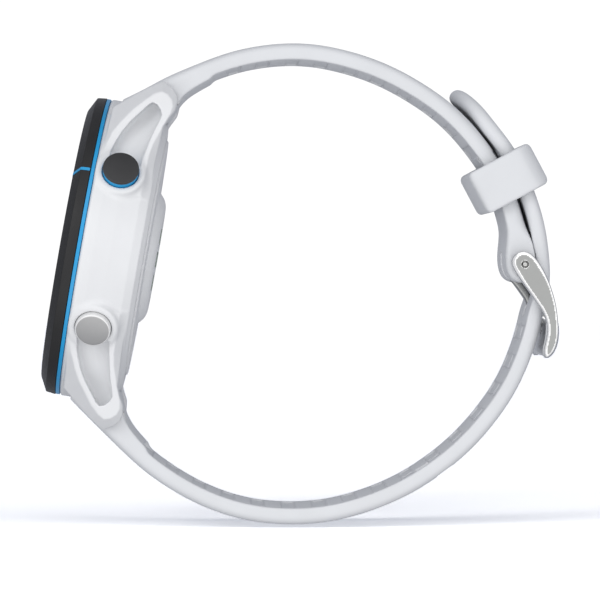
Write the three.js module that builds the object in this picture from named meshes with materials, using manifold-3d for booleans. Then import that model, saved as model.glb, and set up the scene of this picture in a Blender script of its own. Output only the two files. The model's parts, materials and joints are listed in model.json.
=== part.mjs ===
// A GPS running watch with its band closed in a loop: a 46.5 mm round case with five side buttons,
// an optical sensor on its back, and a 22 mm silicone band in two parts joined by a pin buckle.
// Units are millimetres. The origin is the centre of the flat sensor window that rests on the wrist.
// +X runs across the band, towards the start button. +Z is up and +Y runs from the dial to the buckle.
import * as THREE from 'three';
import { mergeVertices } from 'three/addons/utils/BufferGeometryUtils.js';
import Module from 'manifold-3d';

const wasm = await Module();
wasm.setup();

// ---------- driving dimensions ----------
const CASE_DEPTH = 14.4; // dial front to sensor window
const CASE_TILT = THREE.MathUtils.degToRad(10); // the twelve o'clock end leans towards the buckle
const CASE_FRONT = [-36.4, 8.76]; // centre of the dial front, (y, z) in the loop's own drawing
const BEZEL_R = 23.25;
const CAVITY_R = 20.0;
const WALL_R = 23.3; // case wall at its widest
const CREASE_R = 21.6; // where the wall turns into the back bevel
const CREASE_DEPTH = 10.9;
const CASE_TOP = 3.3; // depth of the case's front edge, behind the accent ring
const LEDGE_INNER_R = 13.4;
const LEDGE_DEPTH = 11.0; // the rear cover is screwed down on this ledge
const RECESS_R = 18.9; // the cover lies in a recess of this radius
const COVER_R = 18.6;
const WINDOW_R = 7.2;
const LUG_INNER_X = 11.3; // half the gap between a pair of lugs
const LUG_OUTER_X = 19.6;
const POCKET_FLOOR_X = 12.7; // the hollow in a lug's side stops at this x,
const POCKET_FLOOR_R = 21.5; // and at this radius from the case axis
const BAR_DEPTH = 11.2; // spring bar axis, from the dial front
const BAR_REACH = 24.3; // spring bar axis, from the dial's centre
const STRAP_HALF = 11.0;
const STRAP_THICK = 2.8;
const BUTTON_DEPTH = 7.15;
const CAP_TOP_R = 24.6;
const CAP_RADIUS = 2.8;
const BUTTON_ANGLES = { start: 30, back: -30, light: 150, up: 180, down: 210 };
const PIN = [34.57, 5.48]; // buckle pin axis, (y, z) in the loop's drawing
const PIN_RADIUS = 0.62;
const KEEPER_CENTRE = [31.3, 18.6];
const KEEPER_ANGLE = THREE.MathUtils.degToRad(28);
const ROUND = 48; // facets round the case

// ---------- materials ----------
function paint(name, color, roughness, metalness = 0) {
  return new THREE.MeshStandardMaterial({ name, color, roughness, metalness });
}
const WHITE_CASE = paint('white_polymer', 0xdfe2e6, 0.5);
const WHITE_SILICONE = paint('white_silicone', 0xdde0e4, 0.62);
const BLACK_POLYMER = paint('black_polymer', 0x26282b, 0.45);
const BLUE_POLYMER = paint('blue_polymer', 0x2b8fd0, 0.4);
const DARK_CAP = paint('dark_cap', 0x3c3d3f, 0.4);
const SILVER_CAP = paint('silver_cap', 0xa5a7a6, 0.3, 1);
const STEEL = paint('steel', 0xb4b6b2, 0.3, 1);
const LENS_GLASS = paint('lens_glass', 0x14171a, 0.08);
const DISPLAY = paint('display', 0x1c2226, 0.3);
const BOARD = paint('board', 0x1d5a3a, 0.55);
const CELL = paint('cell', 0xb9bcc0, 0.4, 0.6);
const RUBBER = paint('seal_rubber', 0x1b1b1c, 0.8);
const GOLD = paint('gold_contact', 0xc9a24a, 0.25, 1);

// ---------- solids ----------
// A closed, outward-facing solid from any closed geometry.
function solid(geometry) {
  const bare = geometry.index ? geometry.toNonIndexed() : geometry.clone();
  for (const name of Object.keys(bare.attributes)) if (name !== 'position') bare.deleteAttribute(name);
  const merged = mergeVertices(bare, 1e-4);
  const p = merged.attributes.position;
  const index = merged.index.array;
  const faces = [];
  let volume = 0;
  const [a, b, c] = [new THREE.Vector3(), new THREE.Vector3(), new THREE.Vector3()];
  for (let i = 0; i < index.length; i += 3) {
    const [u, v, w] = [index[i], index[i + 1], index[i + 2]];
    if (u === v || v === w || w === u) continue;
    faces.push(u, v, w);
    volume += a.fromBufferAttribute(p, u).dot(b.fromBufferAttribute(p, v).cross(c.fromBufferAttribute(p, w)));
  }
  if (volume < 0) faces.reverse();
  const mesh = new wasm.Mesh({
    numProp: 3,
    vertProperties: new Float32Array(p.array),
    triVerts: new Uint32Array(faces),
  });
  return new wasm.Manifold(mesh);
}

function geometryOf(body) {
  const mesh = body.getMesh();
  const geometry = new THREE.BufferGeometry();
  geometry.setAttribute('position', new THREE.BufferAttribute(new Float32Array(mesh.vertProperties), 3));
  geometry.setIndex(new THREE.BufferAttribute(new Uint32Array(mesh.triVerts), 1));
  geometry.computeVertexNormals();
  return geometry;
}

const join = (first, ...rest) => rest.reduce((sum, other) => sum.add(other), first);
const cut = (first, ...rest) => rest.reduce((left, tool) => left.subtract(tool), first);

// A closed profile of [radius, depth] points turned about the case axis (the Y axis).
function turned(profile, facets = ROUND) {
  const points = [...profile, profile[0]].map(([r, depth]) => new THREE.Vector2(r, depth));
  return new THREE.LatheGeometry(points, facets);
}

// A ring or disc between two radii and two depths.
function ring(inner, outer, from, to, facets = ROUND) {
  return turned([[inner, from], [outer, from], [outer, to], [inner, to]], facets);
}

// An outline in the (y, z) plane pushed from x = from to x = to.
function slab(outline, from, to, chamfer = 0) {
  const shape = new THREE.Shape(outline.map(([y, z]) => new THREE.Vector2(y, z)));
  const geometry = new THREE.ExtrudeGeometry(shape, {
    depth: to - from - 2 * chamfer,
    bevelEnabled: chamfer > 0,
    bevelSize: chamfer,
    bevelThickness: chamfer,
    bevelOffset: -chamfer,
    bevelSegments: 1,
  });
  geometry.translate(0, 0, from + chamfer);
  const turn = new THREE.Matrix4().makeBasis(
    new THREE.Vector3(0, 1, 0), new THREE.Vector3(0, 0, 1), new THREE.Vector3(1, 0, 0));
  return geometry.applyMatrix4(turn);
}

// A round rod along X.
function rod(radius, from, to, [y, z], facets = 16) {
  const geometry = new THREE.CylinderGeometry(radius, radius, to - from, facets);
  return geometry.rotateZ(Math.PI / 2).translate((from + to) / 2, y, z);
}

function box(low, high) {
  const size = high.map((value, i) => value - low[i]);
  const middle = high.map((value, i) => (value + low[i]) / 2);
  return new THREE.BoxGeometry(...size).translate(...middle);
}

// ---------- frames ----------
// Case pieces are drawn as (x, depth from the dial front, height towards twelve o'clock).
function inCase(geometry) {
  return geometry.translate(0, -CASE_DEPTH, 0).rotateX(-CASE_TILT);
}

// A case (depth, height) point in the loop's drawing.
function fromCase(depth, height) {
  return [
    CASE_FRONT[0] + depth * Math.cos(CASE_TILT) + height * Math.sin(CASE_TILT),
    CASE_FRONT[1] - depth * Math.sin(CASE_TILT) + height * Math.cos(CASE_TILT),
  ];
}
const ORIGIN = fromCase(CASE_DEPTH, 0);

// Moves geometry from the case drawing to the loop drawing.
function toLoop(geometry) {
  return geometry.rotateX(-CASE_TILT).translate(0, CASE_FRONT[0], CASE_FRONT[1]);
}

// Band pieces are drawn in the loop's own (y, z) plane.
function inLoop(geometry) {
  return geometry.translate(0, -ORIGIN[0], -ORIGIN[1]);
}

const watch = new THREE.Group();
watch.name = 'running_watch';

function piece(name, body, material, place) {
  const mesh = new THREE.Mesh(place(geometryOf(body)), material.clone());
  mesh.name = name;
  watch.add(mesh);
}

// ---------- case body ----------
// Side outline of a lug, as (depth, height): one edge runs back from the wall to a rounded tip.
const LUG_SIDE = [
  [4.0, 12.0], [4.2, 21.9], [5.45, 22.9], [7.1, 24.25], [8.95, 25.65], [11.0, 27.05], [12.25, 26.2],
  [13.2, 25.2], [13.58, 24.1], [13.35, 22.8], [12.6, 21.4], [12.2, 20.4], [11.6, 12.0],
];
// Front outline of a lug, as (x, height): the outer face tapers from the wall to the tip.
const LUG_FRONT = [
  [LUG_INNER_X, 10.0], [LUG_OUTER_X, 10.0], [18.6, 14.0], [16.4, 20.3], [14.6, 25.6], [13.9, 27.4],
  [LUG_INNER_X, 27.4],
];
// Outline of the hollow in a lug's outer side, as (depth, height).
const POCKET = [
  [4.9, 14.6], [6.1, 18.2], [8.2, 21.4], [9.4, 23.1], [10.1, 23.45], [10.9, 23.1], [11.55, 21.9],
  [11.1, 20.2], [10.4, 17.2], [10.0, 14.6],
];

// The (x, height) outline becomes a block that runs through the whole case depth.
function frontBlock(outline, from, to) {
  const shape = new THREE.Shape(outline.map(([x, z]) => new THREE.Vector2(x, z)));
  const geometry = new THREE.ExtrudeGeometry(shape, { depth: to - from, bevelEnabled: false });
  return geometry.rotateX(Math.PI / 2).translate(0, to, 0);
}

const mirror = (outline, sx, sz) => outline.map(([u, v]) => [u * sx, v * sz]);

// A lathe body lying along a button's axis, at a radial distance from the case axis.
function radial(geometry, angle) {
  const turn = THREE.MathUtils.degToRad(angle);
  return geometry.rotateZ(-Math.PI / 2).rotateY(-turn).translate(0, BUTTON_DEPTH, 0);
}

const screwSpots = [45, 135, 225, 315].map((angle) => {
  const turn = THREE.MathUtils.degToRad(angle);
  return [15.9 * Math.cos(turn), 15.9 * Math.sin(turn)];
});

function upright(radius, from, to, [x, z], facets = 12) {
  return new THREE.CylinderGeometry(radius, radius, to - from, facets).translate(x, (from + to) / 2, z);
}

function buildCase() {
  // the ring of the wall, its back bevel, and the ledge behind the works that the cover is screwed to
  let body = solid(turned([
    [CAVITY_R, CASE_TOP], [WALL_R - 0.25, CASE_TOP], [WALL_R, CASE_TOP + 0.3], [WALL_R, 5.1], [22.7, 7.9],
    [CREASE_R + 0.15, CREASE_DEPTH - 0.2], [CREASE_R - 0.3, CREASE_DEPTH + 0.25], [19.3, 12.95],
    [RECESS_R, 12.95], [RECESS_R, LEDGE_DEPTH], [LEDGE_INNER_R, LEDGE_DEPTH], [LEDGE_INNER_R, 10.0],
    [CAVITY_R, 9.4],
  ]));
  const hollow = solid(ring(0, CAVITY_R + 0.02, 3.0, 10.0));
  const rear = solid(ring(0, RECESS_R, 10.5, 16.0));
  for (const sx of [1, -1]) {
    for (const sz of [1, -1]) {
      const reach = [sx * LUG_INNER_X, sx * LUG_OUTER_X].sort((a, b) => a - b);
      const side = solid(slab(mirror(LUG_SIDE, 1, sz), ...reach));
      const front = solid(frontBlock(mirror(LUG_FRONT, sx, sz), 2, 16));
      body = body.add(side.intersect(front).subtract(hollow).subtract(rear));
    }
  }
  // a low boss round each button
  const boss = [[0, 20.6], [3.9, 20.6], [3.75, 23.35], [3.6, 23.5], [0, 23.5]];
  for (const angle of Object.values(BUTTON_ANGLES)) body = body.add(solid(radial(turned(boss, 20), angle)));
  body = body.subtract(hollow);
  // the hollow in each lug's side, and the blind hole for a spring bar's end
  const pocketCore = solid(ring(0, POCKET_FLOOR_R, 3, 13));
  for (const sx of [1, -1]) {
    for (const sz of [1, -1]) {
      const reach = [sx * POCKET_FLOOR_X, sx * 30].sort((a, b) => a - b);
      const hollowed = solid(slab(mirror(POCKET, 1, sz), ...reach));
      body = body.subtract(hollowed.subtract(pocketCore));
      const holeReach = [sx * 11.0, sx * 12.4].sort((a, b) => a - b);
      body = body.subtract(solid(rod(0.75, ...holeReach, [BAR_DEPTH, sz * BAR_REACH])));
    }
  }
  // a well for each button's cap, and a bore through the wall for its stem
  const well = [[0, 21.9], [3.1, 21.9], [3.1, 27], [0, 27]];
  const bore = [[0, 18.5], [1.3, 18.5], [1.3, 22.5], [0, 22.5]];
  for (const angle of Object.values(BUTTON_ANGLES)) {
    body = body.subtract(solid(radial(turned(well, 20), angle)));
    body = body.subtract(solid(radial(turned(bore, 12), angle)));
  }
  for (const spot of screwSpots) body = body.subtract(solid(upright(0.95, 9, 12, spot)));
  return body;
}
piece('case_body', buildCase(), WHITE_CASE, inCase);

// ---------- dial side ----------
piece('bezel', solid(turned([
  [18.7, 0], [21.0, 0], [23.14, 1.16], [BEZEL_R, 2.4], [17.2, 2.4], [17.2, 1.55], [18.7, 1.55],
])), BLACK_POLYMER, inCase);
piece('accent_ring', solid(ring(20.4, 23.05, 2.55, 3.15)), BLUE_POLYMER, inCase);
piece('display_lens', solid(turned([
  [0, 0.25], [18.1, 0.25], [18.4, 0.5], [18.4, 1.25], [0, 1.25],
])), LENS_GLASS, inCase);
piece('display_panel', solid(ring(0, 16.7, 1.6, 3.2, 32)), DISPLAY, inCase);
piece('antenna_ring', solid(ring(17.4, 19.6, 2.75, 3.4, 32)), GOLD, inCase);

// The frame that carries the display and the board, with a slot for the display's flex.
piece('inner_frame', cut(
  solid(turned([[0, 3.75], [19.5, 3.75], [19.5, 4.4], [0, 4.4]], 32)),
  solid(box([-5, 3, 12.5], [5, 5, 15.0])),
), BLACK_POLYMER, inCase);

// The board has a notch for the leads of the charging contacts.
piece('main_board', cut(
  solid(ring(0, 18.8, 4.75, 5.4, 32)),
  solid(box([-6, 4, -20], [6, 6, -16.8])),
), BOARD, inCase);
piece('battery', solid(box([-11, 5.9, -9], [11, 9.2, 11.2])), CELL, inCase);
piece('vibration_motor', solid(upright(4.0, 6.0, 8.7, [0, -14.2], 20)), STEEL, inCase);
piece('buzzer', solid(upright(3.0, 6.0, 7.6, [0, 15.4], 20)), GOLD, inCase);

// ---------- back ----------
const CONTACT_X = [-2.55, -0.85, 0.85, 2.55];
const CONTACT_HEIGHT = -15.0;
function buildCover() {
  let body = solid(turned([
    [7.5, 11.35], [COVER_R, 11.35], [COVER_R, 12.75], [18.3, 13.05], [10.3, 13.1], [8.9, 14.3], [7.5, 14.3],
  ], 40));
  for (const spot of screwSpots) {
    body = cut(body, solid(upright(0.95, 11, 13, spot)), solid(upright(1.75, 12.2, 14, spot, 12)));
  }
  body = body.subtract(solid(box([-3.9, 12.3, -16.4], [3.9, 14, -13.6])));
  for (const x of CONTACT_X) body = body.subtract(solid(upright(0.75, 11, 13, [x, CONTACT_HEIGHT])));
  return body;
}
piece('rear_cover', buildCover(), WHITE_CASE, inCase);
piece('rear_gasket', solid(ring(17.5, 18.1, 11.1, 11.25, 32)), RUBBER, inCase);
piece('sensor_window', solid(turned([
  [0, 12.7], [WINDOW_R, 12.7], [WINDOW_R, 14.15], [WINDOW_R - 0.25, CASE_DEPTH], [0, CASE_DEPTH],
], 40)), LENS_GLASS, inCase);
piece('sensor_board', solid(ring(0, 6.9, 11.5, 12.3, 24)), BOARD, inCase);
screwSpots.forEach((spot, i) => {
  const screw = turned([
    [0, 9.7], [0.62, 9.7], [0.62, 12.45], [1.45, 12.45], [1.45, 13.0], [0.6, 13.0], [0.6, 12.75], [0, 12.75],
  ], 12);
  piece(`rear_screw_${i + 1}`, solid(screw.translate(spot[0], 0, spot[1])), STEEL, inCase);
});
CONTACT_X.forEach((x, i) => {
  const pin = turned([[0, 11.35], [0.45, 11.35], [0.45, 12.8], [0.3, 12.95], [0, 12.95]], 10);
  piece(`charge_contact_${i + 1}`, solid(pin.translate(x, 0, CONTACT_HEIGHT)), GOLD, inCase);
});

// ---------- buttons ----------
// Each cap has a stem through the wall, grooved for a seal and, inside the case, for a retaining clip.
for (const [name, angle] of Object.entries(BUTTON_ANGLES)) {
  const capBase = name === 'start' ? 23.45 : 22.75;
  const cap = solid(radial(turned([
    [0, 18.8], [0.9, 18.8], [0.9, 19.05], [0.5, 19.05], [0.5, 19.85], [0.9, 19.85], [0.9, 20.5], [0.5, 20.5],
    [0.5, 21.4], [0.9, 21.4], [0.9, capBase], [CAP_RADIUS, capBase], [CAP_RADIUS, CAP_TOP_R - 0.3],
    [CAP_RADIUS - 0.3, CAP_TOP_R], [0, CAP_TOP_R],
  ], 16), angle));
  piece(`${name}_cap`, cap, name === 'start' ? DARK_CAP : SILVER_CAP, inCase);
  if (name === 'start') {
    piece('start_collar', solid(radial(ring(1.2, 2.9, 22.75, 23.15, 20), angle)), BLUE_POLYMER, inCase);
  }
  const seal = turned([[0.72, 20.95], [0.88, 20.72], [1.08, 20.95], [0.88, 21.18]], 12);
  piece(`${name}_seal`, solid(radial(seal, angle)), RUBBER, inCase);
  piece(`${name}_clip`, solid(radial(ring(0.72, 1.6, 19.28, 19.58, 14), angle)), STEEL, inCase);
  const block = join(
    solid(new THREE.BoxGeometry(2.6, 1.1, 3.2).translate(0, 17.2, 0)),
    solid(turned([[0, 17.5], [0.7, 17.5], [0.7, 18.1], [0, 18.1]], 10)),
  );
  piece(`${name}_switch`, block, BLACK_POLYMER, (g) => inCase(radial(g, angle)));
}

// ---------- band ----------
// Both parts are drawn by their outer line, from the case to the free end, and a thickness.
const GROOVE = [20, 2.1, 0.9]; // across, along and through the band; half its height bites
const SLOT = [2.3, 3.0, 12];

function smooth(points, count) {
  const curve = new THREE.SplineCurve(points.map(([y, z]) => new THREE.Vector2(y, z)));
  return curve.getSpacedPoints(count).map((p) => [p.x, p.y]);
}

// The outer points moved towards the wrist; side is 1 for the top part and -1 for the bottom part.
function wristSide(points, thickness, side) {
  return points.map(([y, z], i) => {
    const [y0, z0] = points[Math.max(i - 1, 0)];
    const [y1, z1] = points[Math.min(i + 1, points.length - 1)];
    const reach = (side * thickness(i)) / Math.hypot(y1 - y0, z1 - z0);
    return [y + (z1 - z0) * reach, z - (y1 - y0) * reach];
  });
}

// A block laid on the band at a distance along its outer line, sunk by depth towards the wrist.
function blockAt(line, at, size, depth, side) {
  let passed = 0;
  for (let i = 1; i < line.length; i += 1) {
    const [y0, z0] = line[i - 1];
    const [y1, z1] = line[i];
    const step = Math.hypot(y1 - y0, z1 - z0);
    if (passed + step >= at) {
      const mix = (at - passed) / step;
      const y = y0 + (y1 - y0) * mix + (side * (z1 - z0) * depth) / step;
      const z = z0 + (z1 - z0) * mix - (side * (y1 - y0) * depth) / step;
      const block = new THREE.BoxGeometry(...size);
      return solid(block.rotateX(Math.atan2(z1 - z0, y1 - y0)).translate(0, y, z));
    }
    passed += step;
  }
  throw new Error('the line is too short');
}

// Blocks number from to number to, at equal steps along the outer line, leaving one out.
function row(line, { anchor, pitch, side }, from, to, size, depth, skip) {
  const blocks = [];
  for (let n = from; n <= to; n += 1) {
    if (n !== skip) blocks.push(blockAt(line, anchor + n * pitch, size, depth, side));
  }
  return blocks;
}

// The case with a little room round it, in the loop drawing: the root of each part is hollowed by it.
const caseRoom = solid(toLoop(turned([
  [0, 0], [WALL_R + 0.35, 0], [WALL_R + 0.35, 5.3], [CREASE_R + 0.5, 11.1], [19.4, 14], [0, 14],
])));

// A tunnel for a spring bar, and a window on the wrist side for its lever to travel in.
function barRoom(end) {
  const reach = end * BAR_REACH;
  const tunnel = rod(1.15, -13, 13, [BAR_DEPTH, reach], 16);
  const window = box([5.3, BAR_DEPTH, reach - 0.95], [9.9, 17, reach + 0.95]);
  return [solid(toLoop(tunnel)), solid(toLoop(window))];
}

// The flare where a part thickens to wrap its spring bar, from the band's inner line to the case.
function rootFlare(end) {
  const flare = [[16.4, 27.4], [15.2, 26.1], [14.1, 24.6], [13.3, 22.9], [12.5, 20.6], [12.4, 18.6]];
  return flare.map(([depth, height]) => fromCase(depth, end * height));
}

// Buckle-side part: over the top of the loop, down to the pin, ending in a rounded barrel.
const TOP_ROW = { anchor: 27.46, pitch: 4.95, side: 1 }; // groove 0 lies at the anchor along the outer line
const topOuter = smooth([
  fromCase(5.3, 23.9), [-24.1, 32.9], [-21.0, 34.6], [-16.5, 36.6], [-10, 38.9], [-1.3, 39.95], [6, 39.2],
  [13, 37.0], [19, 33.9], [24.2, 29.6], [28.5, 24.3], [31.6, 19.0], [33.8, 13.5], [35.2, 8.6], [35.75, 5.5],
], 34);
const BARREL = [
  [35.6, 4.0], [34.8, 2.95], [33.4, 2.85], [32.2, 3.6], [31.6, 5.0], [31.45, 7.0], [31.6, 9.4], [31.5, 11.6],
];
function buildBuckleStrap() {
  const inner = wristSide(topOuter, () => STRAP_THICK, 1).slice(5, 31).reverse();
  const outline = [fromCase(5.3, 18.6), ...topOuter, ...BARREL, ...inner, ...rootFlare(1)];
  const tongueRoom = solid(box([-1.6, 32.0, 2.0], [1.6, 37, 7.4]));
  return cut(
    solid(slab(outline, -STRAP_HALF, STRAP_HALF)),
    caseRoom,
    ...barRoom(1),
    ...row(topOuter, TOP_ROW, -2, 8, GROOVE, STRAP_THICK),
    tongueRoom,
    solid(rod(0.92, -12, 12, PIN, 16)),
  );
}
piece('buckle_strap', buildBuckleStrap(), WHITE_SILICONE, inLoop);

// Hole-side part: under the loop, through the buckle and keeper, ending in a rounded tip outside.
const LOW_ROW = { anchor: 39.72, pitch: 5.17, side: -1 };
const TIP_THICK = 2.35; // the free end is a little thinner
const USED_SLOT = 11; // the tongue goes through this one
const lowOuter = smooth([
  fromCase(5.3, -23.9), [-26.1, -24.8], [-22.4, -28.0], [-17.2, -31.1], [-10, -33.7], [-2.6, -34.7], [6, -34.1],
  [15.1, -31.1], [20.3, -28.0], [24.7, -24.7], [28.8, -20.5], [32.6, -15.3], [35.0, -10.6], [36.6, -5.6],
  [37.6, -1.4], [38.55, 2.6], [38.75, 6.0], [38.3, 9.6], [37.4, 13.2], [35.6, 18.2], [32.9, 23.3],
  [30.4, 27.1], [27.9, 30.4], [25.6, 32.4], [24.2, 33.25],
], 56);
function lowThickness(i) {
  const mix = THREE.MathUtils.clamp((i - 29) / 8, 0, 1);
  return THREE.MathUtils.lerp(STRAP_THICK, TIP_THICK, mix);
}
const TONGUE_SLOPE = Math.atan2(-2.5, 1.7);
function buildHoleStrap() {
  const inner = wristSide(lowOuter, lowThickness, -1).slice(5).reverse();
  const tip = [[23.5, 33.0], [23.0, 32.4]];
  const outline = [fromCase(5.3, -18.6), ...lowOuter, ...tip, ...inner, ...rootFlare(-1)];
  const used = new THREE.BoxGeometry(2.6, 14, 2.8).rotateX(TONGUE_SLOPE).translate(0, 36.3, -1.2);
  return cut(
    solid(slab(outline, -STRAP_HALF, STRAP_HALF)),
    caseRoom,
    ...barRoom(-1),
    ...row(lowOuter, LOW_ROW, -5, 13, GROOVE, STRAP_THICK, USED_SLOT),
    ...row(lowOuter, LOW_ROW, 4, 17, SLOT, 0, USED_SLOT),
    solid(used),
  );
}
piece('hole_strap', buildHoleStrap(), WHITE_SILICONE, inLoop);

// Spring bars: a tube with one fixed end, and a sliding end pin with a finger lever.
for (const [name, sz] of [['upper', 1], ['lower', -1]]) {
  const axis = [BAR_DEPTH, sz * BAR_REACH];
  const bar = cut(
    join(solid(rod(0.85, -10.6, 10.6, axis)), solid(rod(0.45, -12.1, -10.5, axis, 12))),
    solid(rod(0.6, 2.4, 11, axis, 12)),
    solid(box([5.6, BAR_DEPTH - 0.25, axis[1] - 0.85], [9.6, 13, axis[1] + 0.85])),
  );
  piece(`${name}_spring_bar`, bar, STEEL, inCase);
  const knob = new THREE.CylinderGeometry(0.5, 0.5, 2.5, 12).translate(8.7, BAR_DEPTH + 1.25, axis[1]);
  piece(`${name}_release_pin`, join(solid(rod(0.38, 6.3, 12.1, axis, 12)), solid(knob)), STEEL, inCase);
}

// ---------- keeper ----------
function buildKeeper() {
  const radialOut = [Math.cos(KEEPER_ANGLE), Math.sin(KEEPER_ANGLE)];
  const along = [-radialOut[1], radialOut[0]];
  const rounded = (target, low, high, half, corner) => {
    target.moveTo(low + corner, -half);
    target.lineTo(high - corner, -half);
    target.quadraticCurveTo(high, -half, high, -half + corner);
    target.lineTo(high, half - corner);
    target.quadraticCurveTo(high, half, high - corner, half);
    target.lineTo(low + corner, half);
    target.quadraticCurveTo(low, half, low, half - corner);
    target.lineTo(low, -half + corner);
    target.quadraticCurveTo(low, -half, low + corner, -half);
    return target;
  };
  const shape = rounded(new THREE.Shape(), -5.6, 5.8, 13.2, 1.6);
  shape.holes.push(rounded(new THREE.Path(), -3.4, 4.1, 11.6, 0.8));
  const geometry = new THREE.ExtrudeGeometry(shape, { depth: 6, bevelEnabled: false, curveSegments: 4 });
  geometry.translate(0, 0, -3);
  const turn = new THREE.Matrix4().makeBasis(
    new THREE.Vector3(0, ...radialOut), new THREE.Vector3(-1, 0, 0), new THREE.Vector3(0, ...along));
  return solid(geometry.applyMatrix4(turn).translate(0, ...KEEPER_CENTRE));
}
piece('keeper', buildKeeper(), WHITE_SILICONE, inLoop);

// ---------- buckle ----------
// Side outline of a buckle arm, from the eye round the pin to the foot, as (y, z).
const ARM = [
  [34.0, 6.75], [35.0, 6.85], [35.85, 6.4], [36.94, 5.1], [38.26, 3.06], [39.0, 1.3], [39.58, -0.77],
  [39.75, -2.8], [39.7, -4.6], [39.5, -6.3], [39.1, -7.6], [38.5, -8.5], [37.8, -8.85], [36.9, -8.65],
  [36.2, -8.1], [36.9, -6.9], [37.9, -5.6], [38.45, -4.2], [38.4, -2.5], [37.6, -0.9], [36.36, 0.35],
  [35.0, 1.9], [34.0, 3.37], [33.2, 4.7], [33.3, 6.0],
];
const CROSSBAR = [
  [38.35, -3.3], [39.3, -3.6], [39.7, -4.6], [39.5, -6.3], [39.1, -7.6], [38.5, -8.5], [37.8, -8.85],
  [36.9, -8.65], [36.5, -8.1], [37.1, -6.6], [37.7, -5.0],
];
function buildBuckle() {
  const arms = [[11.4, 13.3], [-13.3, -11.4]].map(([from, to]) => solid(slab(ARM, from, to)));
  const bar = solid(slab(CROSSBAR, -11.6, 11.6));
  const rest = new THREE.BoxGeometry(3.0, 14, 2.4).rotateX(TONGUE_SLOPE).translate(0, 39.2, -4.8);
  return cut(join(...arms, bar), solid(rest), solid(rod(0.85, -15, 15, PIN, 16)));
}
piece('buckle_frame', buildBuckle(), STEEL, inLoop);
piece('buckle_pin', solid(rod(PIN_RADIUS, -13.2, 13.2, PIN, 14)), STEEL, inLoop);

// The tongue hooks round the pin, dips under the barrel and crosses the band to the crossbar.
const TONGUE = [
  [34.9, 4.5], [33.95, 3.4], [34.4, 2.45], [35.45, 0.9], [36.9, -1.3], [38.35, -3.5], [39.2, -5.0],
  [38.75, -5.35], [37.8, -4.1], [35.9, -2.0], [34.5, 0.1], [33.4, 1.6], [32.75, 3.1], [33.1, 4.2],
  [33.4, 5.2], [33.6, 6.2],
];
const tongue = cut(
  join(solid(slab(TONGUE, -1.0, 1.0)), solid(rod(1.3, -1.0, 1.0, PIN, 16))),
  solid(rod(0.85, -2, 2, PIN, 16)),
);
piece('tongue', tongue, STEEL, inLoop);

export default watch;
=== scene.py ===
# The looks of a GPS running watch with its band closed in a loop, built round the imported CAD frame.
# Fine pieces are made in millimetres in two drawings and then placed in metres in the CAD's frame:
#   case drawing: x across the band, d depth from the dial front, h height towards twelve o'clock
#   loop drawing: x across the band, and the (y, z) plane in which the band's loop is drawn
import json
import math

import bmesh
import bpy
import numpy as np
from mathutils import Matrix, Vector


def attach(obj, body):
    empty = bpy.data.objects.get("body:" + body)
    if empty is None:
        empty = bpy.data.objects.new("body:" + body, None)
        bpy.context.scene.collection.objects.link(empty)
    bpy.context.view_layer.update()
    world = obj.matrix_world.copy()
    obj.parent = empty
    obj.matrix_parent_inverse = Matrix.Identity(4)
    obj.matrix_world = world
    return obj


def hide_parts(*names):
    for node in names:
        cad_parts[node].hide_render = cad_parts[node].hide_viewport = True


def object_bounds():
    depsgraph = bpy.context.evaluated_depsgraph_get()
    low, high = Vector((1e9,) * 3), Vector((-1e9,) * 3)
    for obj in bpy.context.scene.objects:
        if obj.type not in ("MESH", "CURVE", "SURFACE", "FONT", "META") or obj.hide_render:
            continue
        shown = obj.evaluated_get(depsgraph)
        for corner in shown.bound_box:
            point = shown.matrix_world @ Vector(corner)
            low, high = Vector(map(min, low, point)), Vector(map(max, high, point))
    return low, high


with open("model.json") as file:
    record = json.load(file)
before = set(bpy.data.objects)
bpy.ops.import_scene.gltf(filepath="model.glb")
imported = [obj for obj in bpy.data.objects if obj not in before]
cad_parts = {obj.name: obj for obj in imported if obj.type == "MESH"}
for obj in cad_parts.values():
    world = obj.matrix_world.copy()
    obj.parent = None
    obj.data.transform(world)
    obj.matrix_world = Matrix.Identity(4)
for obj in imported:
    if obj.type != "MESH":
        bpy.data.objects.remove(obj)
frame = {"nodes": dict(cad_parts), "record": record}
CAD_BOX = [list(corner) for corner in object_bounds()]

# ---------- driving dimensions, in millimetres and degrees ----------
TILT = math.radians(10.0)
CASE_DEPTH = 14.4
CASE_FRONT = (-36.4, 8.76)
COS, SIN = math.cos(TILT), math.sin(TILT)
ORIGIN = (CASE_FRONT[0] + CASE_DEPTH * COS, CASE_FRONT[1] - CASE_DEPTH * SIN)
BUTTON_DEPTH = 7.05
BUTTON_ANGLES = {"start": 31.0, "back": -30.3, "light": 150, "up": 180, "down": 210}
STRIPE_ANGLE = 30
BAR = (11.2, 24.3)  # a spring bar's (depth, height)
PIN = (34.1, 5.5)  # the buckle pin's centre in the loop drawing
BARREL_HOLE, ARM_HOLE, TONGUE_HOLE = 0.72, 0.56, 0.85  # the radii of the holes that the pin is in
MM = 0.001


def from_case(depth, height):
    """A case (depth, height) point in the loop drawing."""
    return (CASE_FRONT[0] + depth * COS + height * SIN, CASE_FRONT[1] - depth * SIN + height * COS)


def case_to_frame(points):
    """Case drawing (x, d, h) to metres in the CAD's frame."""
    p = np.asarray(points, float)
    d = p[:, 1] - CASE_DEPTH
    h = p[:, 2]
    return np.stack([p[:, 0], d * COS + h * SIN, h * COS - d * SIN], 1) * MM


def loop_to_frame(points):
    """Loop drawing (x, y, z) to metres in the CAD's frame."""
    p = np.asarray(points, float)
    return np.stack([p[:, 0], p[:, 1] - ORIGIN[0], p[:, 2] - ORIGIN[1]], 1) * MM


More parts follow.
